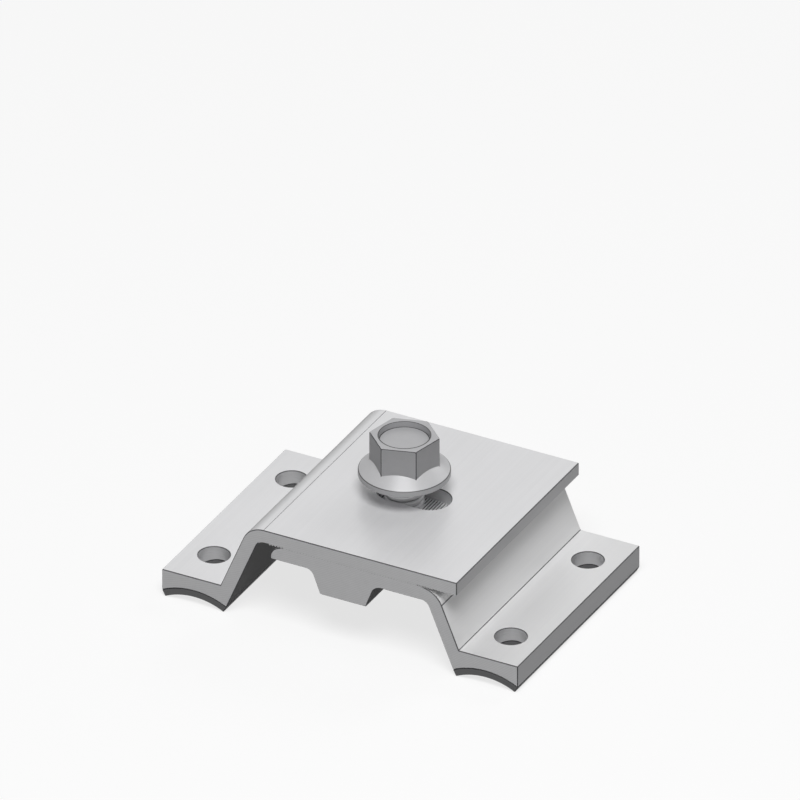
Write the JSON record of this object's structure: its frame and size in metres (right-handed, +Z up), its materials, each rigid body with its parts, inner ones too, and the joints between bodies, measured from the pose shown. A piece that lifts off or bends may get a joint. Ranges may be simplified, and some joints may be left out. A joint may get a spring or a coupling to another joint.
{
  "type": "corrugated roof clamp",
  "caption": "Adjustable clamp that bridges two crests of a corrugated roof sheet: toothed extruded halves with padded saddle feet, held together by a flange bolt through a slot.",
  "frame": {"origin": "on the level that the pads stand on, midway between the outer edges of the feet and midway along the extrusions", "axes": "+X from the upper half's foot to the lower half's foot, +Y along the extrusions, +Z up along the bolt"},
  "size_m": [0.0968, 0.0636, 0.0421],
  "materials": {
    "clamp_aluminium": "mill finish extrusion, satin, with sawn ends",
    "pad_rubber": "matt dark grey rubber",
    "bolt_steel": "bare steel, the head darker than the collar and the thread"
  },
  "bodies": {
    "lower_half": {"lower_clamp_half": "clamp_aluminium", "lower_foot_pad": "pad_rubber"},
    "upper_half": {"upper_clamp_half": "clamp_aluminium", "upper_foot_pad": "pad_rubber"},
    "bolt": {"flange_bolt": "bolt_steel"}
  },
  "joints": [
    {"name": "upper_lift", "type": "slide", "parent": "lower_half", "child": "upper_half", "axis": [0, 0, 1], "range_m": [0, 0.0267]},
    {"name": "bolt_travel", "type": "slide", "parent": "upper_half", "child": "bolt", "axis": [0, 0, 1], "range_m": [-0.00525, 0.05979]}
  ]
}
